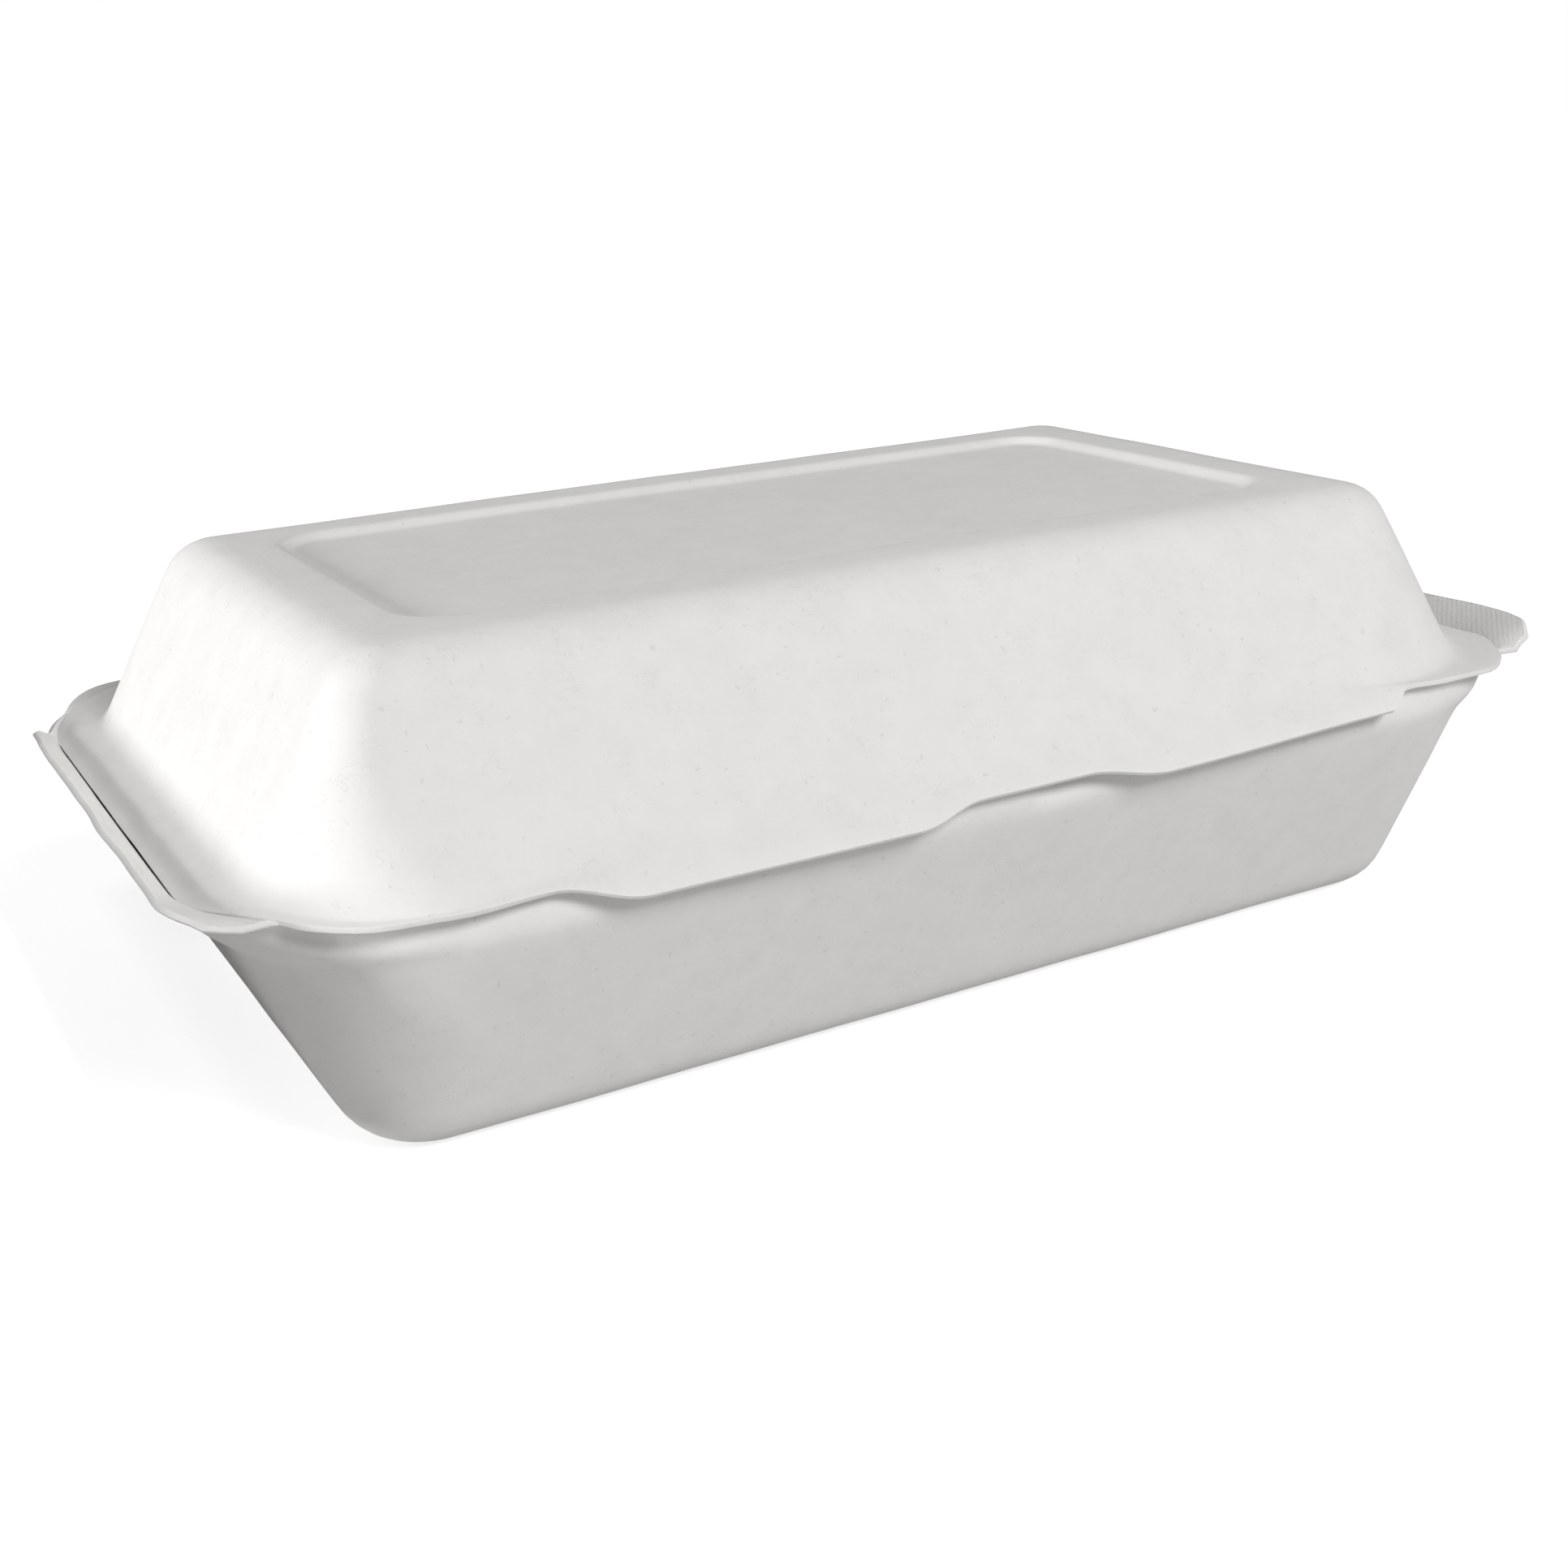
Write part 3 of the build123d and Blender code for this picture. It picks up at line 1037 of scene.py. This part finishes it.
@dataclass(frozen=True)
class PulpFinish:
    """Pressed sugarcane fibre, warm white and matt, smooth outside and screen-marked inside."""

    face: Face
    pale: Triple = (0.838, 0.833, 0.820)
    shade: Triple = (0.812, 0.805, 0.788)
    fleck: Triple = (0.56, 0.49, 0.38)
    gloss: float = 0.28
    sheen: float = 0.06
    sheen_roughness: float = 0.6
    screen_pitch: float = 0.0011
    screen_depth: float = 0.35
    bump_distance: float = 0.00012
    bump_strength: float = 0.5

    def build(self) -> bpy.types.Material:
        """Makes the material.

        Returns:
            The material, ready for a piece.
        """
        material, shader = new_material(self.face.value, {
            "Specular IOR Level": self.gloss,
            "Sheen Weight": self.sheen,
            "Sheen Roughness": self.sheen_roughness,
        })
        tree = material.node_tree
        place = tree.nodes.new("ShaderNodeTexCoord")
        rim = tree.nodes.new("ShaderNodeAttribute")
        rim.attribute_name = "rim"
        fibre = tree.nodes.new("ShaderNodeGroup")
        fibre.node_tree = PressedFibre().build()
        fill_in(fibre, {
            "Pale": (*self.pale, 1),
            "Shade": (*self.shade, 1),
            "Fleck": (*self.fleck, 1),
            "Screen Pitch": self.screen_pitch,
            "Screen Depth": 0.0 if self.face is Face.SMOOTH else self.screen_depth,
        })
        bump = fill_in(tree.nodes.new("ShaderNodeBump"), {
            "Distance": self.bump_distance, "Strength": self.bump_strength,
        })
        wire(
            tree,
            (place.outputs["Object"], fibre.inputs["Vector"]),
            (rim.outputs["Fac"], fibre.inputs["Rim"]),
            (fibre.outputs["Color"], shader.inputs["Base Color"]),
            (fibre.outputs["Roughness"], shader.inputs["Roughness"]),
            (fibre.outputs["Height"], bump.inputs["Height"]),
            (bump.outputs["Normal"], shader.inputs["Normal"]),
        )
        return material


@dataclass(frozen=True)
class Lamp:
    """A square soft light that looks at the box, in metres and watts."""

    name: str
    place: Triple
    power: float
    size: float
    aim: Triple = (0.0, 0.0, 0.04)

    def hang(self) -> bpy.types.Object:
        """Hangs the lamp and gives it."""
        data = bpy.data.lights.new(self.name, "AREA")
        data.energy, data.size = self.power, self.size
        lamp = in_scene(self.name, data)
        lamp.location = self.place
        lamp.rotation_euler = (Vector(self.place) - Vector(self.aim)).to_track_quat("Z", "Y").to_euler()
        return lamp


@dataclass
class Studio:
    """Floor, light and camera."""

    image_side: int = 1932
    focal: float = 2423.183
    sensor: float = 36.0
    clip_near: float = 0.01
    clip_far: float = 50.0
    eye: Triple = (-152.69, -277.08, 130.32)
    azimuth: float = -28.617
    elevation: float = 18.898
    roll: float = -2.391
    ambient: float = 0.20
    floor_half: float = 4.0
    floor_tone: float = 0.66
    floor_roughness: float = 0.9
    glow_near: float = 0.2
    glow_far: float = 0.7
    glow_least: float = 0.72
    glow_most: float = 0.97
    flag_x: float = -0.119
    flag_y: float = 0.01
    flag_length: float = 0.14
    flag_low: float = 0.006
    flag_high: float = 0.045
    flag_tone: float = 0.8
    flag_roughness: float = 0.95
    lamps: tuple[Lamp, ...] = (
        Lamp("key", (-1.33, 0.10, 0.235), 16.0, 0.5),
        Lamp("fill", (0.30, -1.10, 0.93), 12.8, 0.45),
    )

    def camera(self) -> bpy.types.Object:
        """Places the camera at the photograph's viewing angle.

        Returns:
            The camera.
        """
        az, el, ro = (math.radians(v) for v in (self.azimuth, self.elevation, self.roll))
        back = Vector((math.sin(az) * math.cos(el), -math.cos(az) * math.cos(el), math.sin(el)))
        level = (-back).cross(Vector((0, 0, 1))).normalized()
        upright = level.cross(-back)
        right = level * math.cos(ro) + upright * math.sin(ro)
        up = -level * math.sin(ro) + upright * math.cos(ro)
        data = bpy.data.cameras.new("camera")
        data.sensor_width = self.sensor
        data.lens = self.focal * self.sensor / self.image_side
        data.clip_start, data.clip_end = self.clip_near, self.clip_far
        camera = in_scene("camera", data)
        turned = Matrix((right, up, back)).transposed().to_4x4()
        camera.matrix_world = Matrix.Translation(Vector(self.eye) * METRES) @ turned
        bpy.context.scene.camera = camera
        return camera

    def floor(self) -> bpy.types.Object:
        """Lays the pale floor, which the camera sees brighter the further off it is.

        Returns:
            The floor, which isn't part of the box.
        """
        mesh = bmesh.new()
        bmesh.ops.create_grid(mesh, x_segments=8, y_segments=8, size=self.floor_half)
        tone = (self.floor_tone, self.floor_tone, self.floor_tone, 1)
        material, shader = new_material("pale_floor", {
            "Base Color": tone,
            "Roughness": self.floor_roughness,
            "Specular IOR Level": 0.0,
            "Emission Color": (1, 1, 1, 1),
        })
        tree = material.node_tree
        path = tree.nodes.new("ShaderNodeLightPath")
        seen = tree.nodes.new("ShaderNodeMath")
        seen.operation = "MULTIPLY"
        place = tree.nodes.new("ShaderNodeTexCoord")
        far = tree.nodes.new("ShaderNodeVectorMath")
        far.operation = "LENGTH"
        glow = fill_in(tree.nodes.new("ShaderNodeMapRange"), {
            "From Min": self.glow_near, "From Max": self.glow_far,
            "To Min": self.glow_least, "To Max": self.glow_most,
        })
        wire(
            tree,
            (place.outputs["Object"], far.inputs[0]),
            (far.outputs["Value"], glow.inputs["Value"]),
            (glow.outputs["Result"], seen.inputs[1]),
            (path.outputs["Is Camera Ray"], seen.inputs[0]),
            (seen.outputs[0], shader.inputs["Emission Strength"]),
        )
        floor = meshed(mesh, "floor", [material])
        return floor

    def flag(self) -> bpy.types.Object:
        """Stands a grey card beside the tray's left end, to keep the key light off it.

        Returns:
            The card, which the camera doesn't see and which isn't part of the box.
        """
        mesh = bmesh.new()
        bmesh.ops.create_grid(mesh, x_segments=1, y_segments=1, size=0.5)
        bmesh.ops.rotate(mesh, verts=mesh.verts, matrix=Matrix.Rotation(math.radians(90), 3, "Y"))
        middle = (self.flag_low + self.flag_high) / 2
        bmesh.ops.scale(mesh, verts=mesh.verts, vec=(1, self.flag_length, self.flag_high - self.flag_low))
        bmesh.ops.translate(mesh, verts=mesh.verts, vec=(self.flag_x, self.flag_y, middle))
        tone = (self.flag_tone, self.flag_tone, self.flag_tone, 1)
        material, _ = new_material("grey_card", {"Base Color": tone, "Roughness": self.flag_roughness})
        flag = meshed(mesh, "flag", [material])
        flag.visible_camera = False
        return flag

    def sky(self) -> bpy.types.World:
        """Fills the room with even light, white where the camera looks past the floor.

        Returns:
            The world.
        """
        world = bpy.data.worlds.new("room")
        world.use_nodes = True
        tree = world.node_tree
        tree.nodes.clear()
        path = tree.nodes.new("ShaderNodeLightPath")
        fill, seen = (
            fill_in(tree.nodes.new("ShaderNodeBackground"), {"Color": (1, 1, 1, 1), "Strength": strength})
            for strength in (self.ambient, 1.0)
        )
        mix = tree.nodes.new("ShaderNodeMixShader")
        out = tree.nodes.new("ShaderNodeOutputWorld")
        wire(
            tree,
            (path.outputs["Is Camera Ray"], mix.inputs[0]),
            (fill.outputs[0], mix.inputs[1]),
            (seen.outputs[0], mix.inputs[2]),
            (mix.outputs[0], out.inputs["Surface"]),
        )
        bpy.context.scene.world = world
        return world

    def build(self) -> None:
        """Sets up the whole studio."""
        self.camera()
        self.floor()
        self.flag()
        self.sky()
        for lamp in self.lamps:
            lamp.hang()
        bpy.context.scene.view_settings.view_transform = "Standard"


def main() -> None:
    """Builds the studio and the pieces of the box, and says where the tray and the lid ride."""
    logging.basicConfig(level=logging.INFO, format="%(name)s: %(message)s")
    Studio().build()
    outside, inside = PulpFinish(Face.SMOOTH).build(), PulpFinish(Face.SCREENED).build()
    cover = Lid()
    tray = Tray(cover=cover.flange_height).build([outside, inside])
    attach(tray, "tray")
    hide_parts("tray")
    lid = cover.build([outside, inside])
    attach(lid, "lid")
    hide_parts("lid")
    crease = FoldCrease().build(outside)
    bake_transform(crease)
    for piece in (tray, lid, crease):
        LOG.info("%s: %d points", piece.name, len(piece.data.vertices))


if __name__ == "__main__":
    main()
